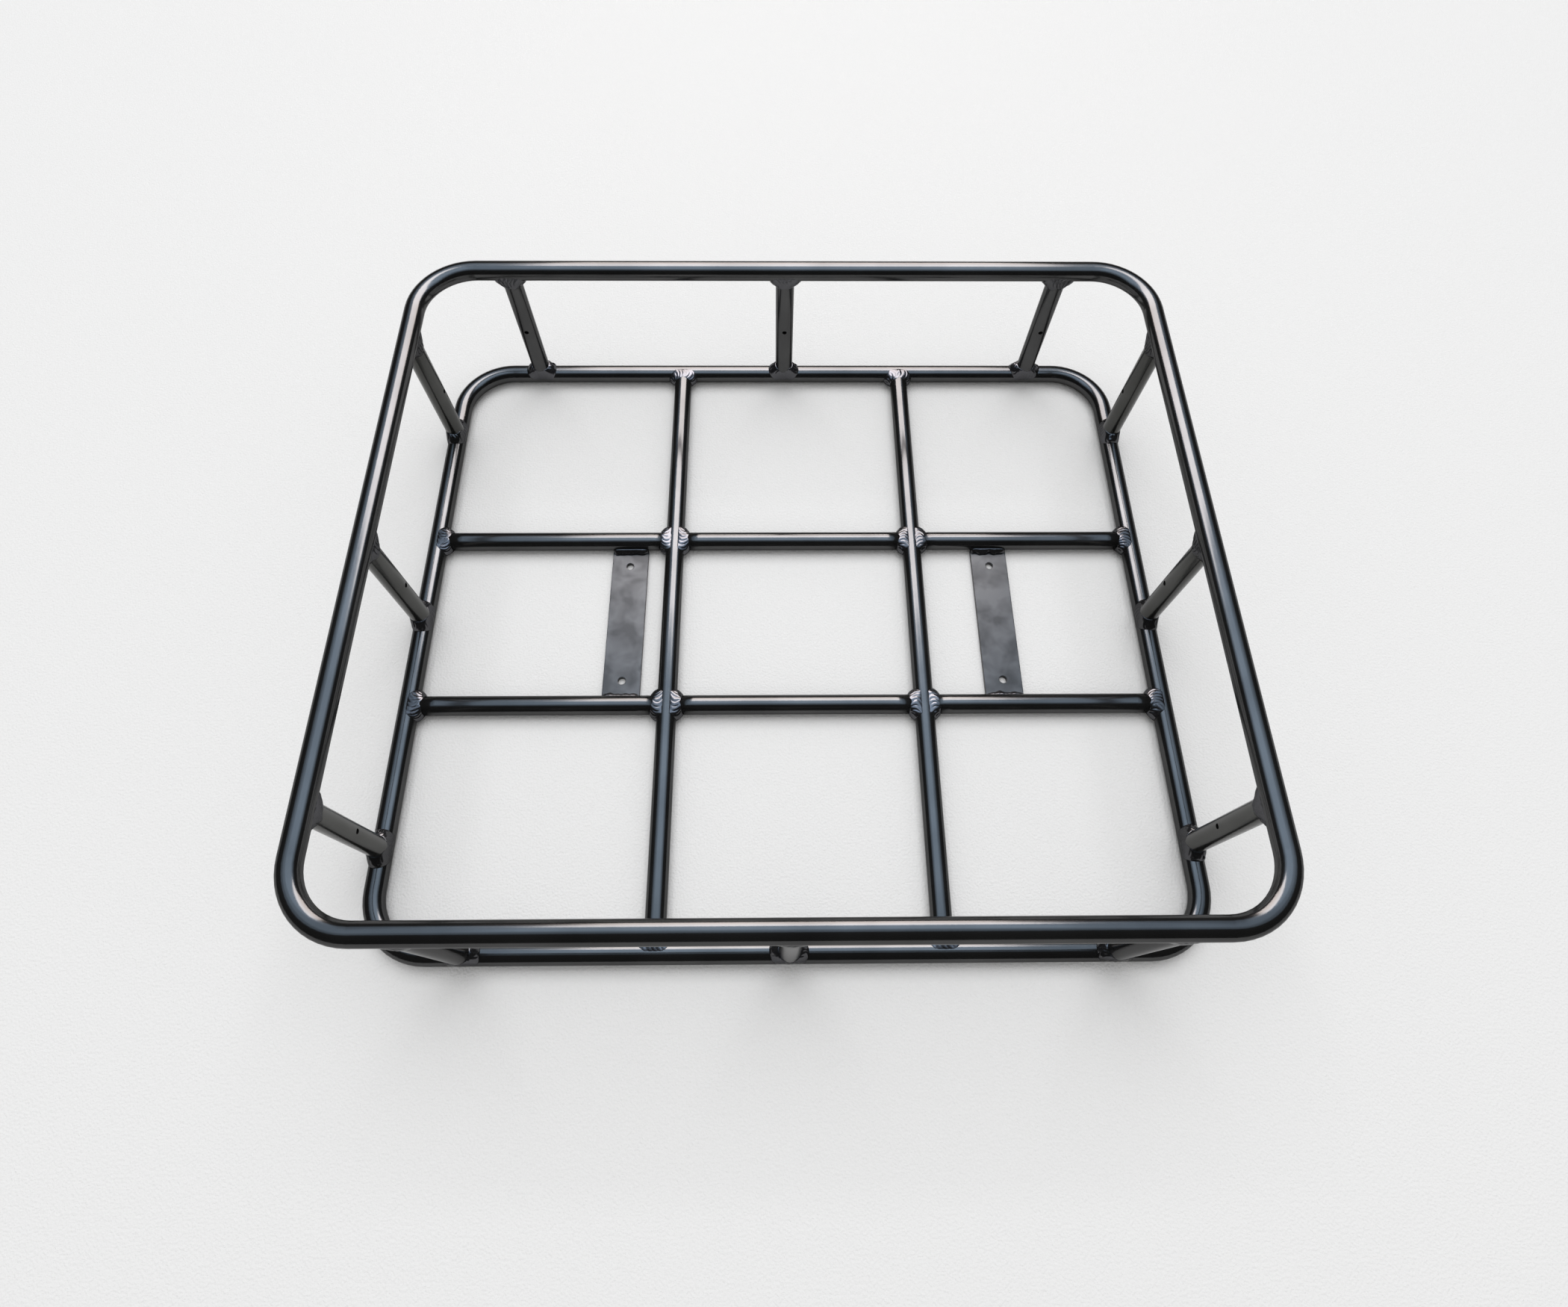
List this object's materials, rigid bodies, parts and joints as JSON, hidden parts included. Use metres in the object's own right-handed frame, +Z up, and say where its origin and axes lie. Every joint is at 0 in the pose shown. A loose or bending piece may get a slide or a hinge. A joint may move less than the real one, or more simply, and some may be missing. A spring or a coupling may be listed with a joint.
{
  "type": "luggage rack",
  "caption": "Rigid welded tube cargo basket: two bent rails joined by posts, a grid floor and two drilled mounting plates.",
  "frame": {"origin": "middle of the footprint, at floor level, under the underside of the bottom rail", "axes": "+X along the wide side to the right, +Y to the back, +Z up"},
  "size_m": [0.633, 0.553, 0.146],
  "materials": {
    "coated_tube": "satin black anodised",
    "coated_plate": "satin dark grey anodised, cloudy",
    "weld_bead": "rippled, satin black anodised"
  },
  "bodies": {
    "root": {"top_rail": "coated_tube", "bottom_rail": "coated_tube", "post_back_left": "coated_tube", "post_back_middle": "coated_tube", "post_back_right": "coated_tube", "post_front_left": "coated_tube", "post_front_middle": "coated_tube", "post_front_right": "coated_tube", "post_left_back": "coated_tube", "post_left_middle": "coated_tube", "post_left_front": "coated_tube", "post_right_back": "coated_tube", "post_right_middle": "coated_tube", "post_right_front": "coated_tube", "long_bar_left_tube": "coated_tube", "long_bar_right_tube": "coated_tube", "cross_bar_back_left": "coated_tube", "cross_bar_back_middle": "coated_tube", "cross_bar_back_right": "coated_tube", "cross_bar_front_left": "coated_tube", "cross_bar_front_middle": "coated_tube", "cross_bar_front_right": "coated_tube", "mounting_plate_left": "coated_plate", "mounting_plate_right": "coated_plate", "post_top_welds": "weld_bead", "post_foot_welds": "weld_bead", "long_bar_welds": "weld_bead", "cross_bar_welds": "weld_bead", "mounting_plate_welds": "weld_bead"}
  },
  "joints": []
}
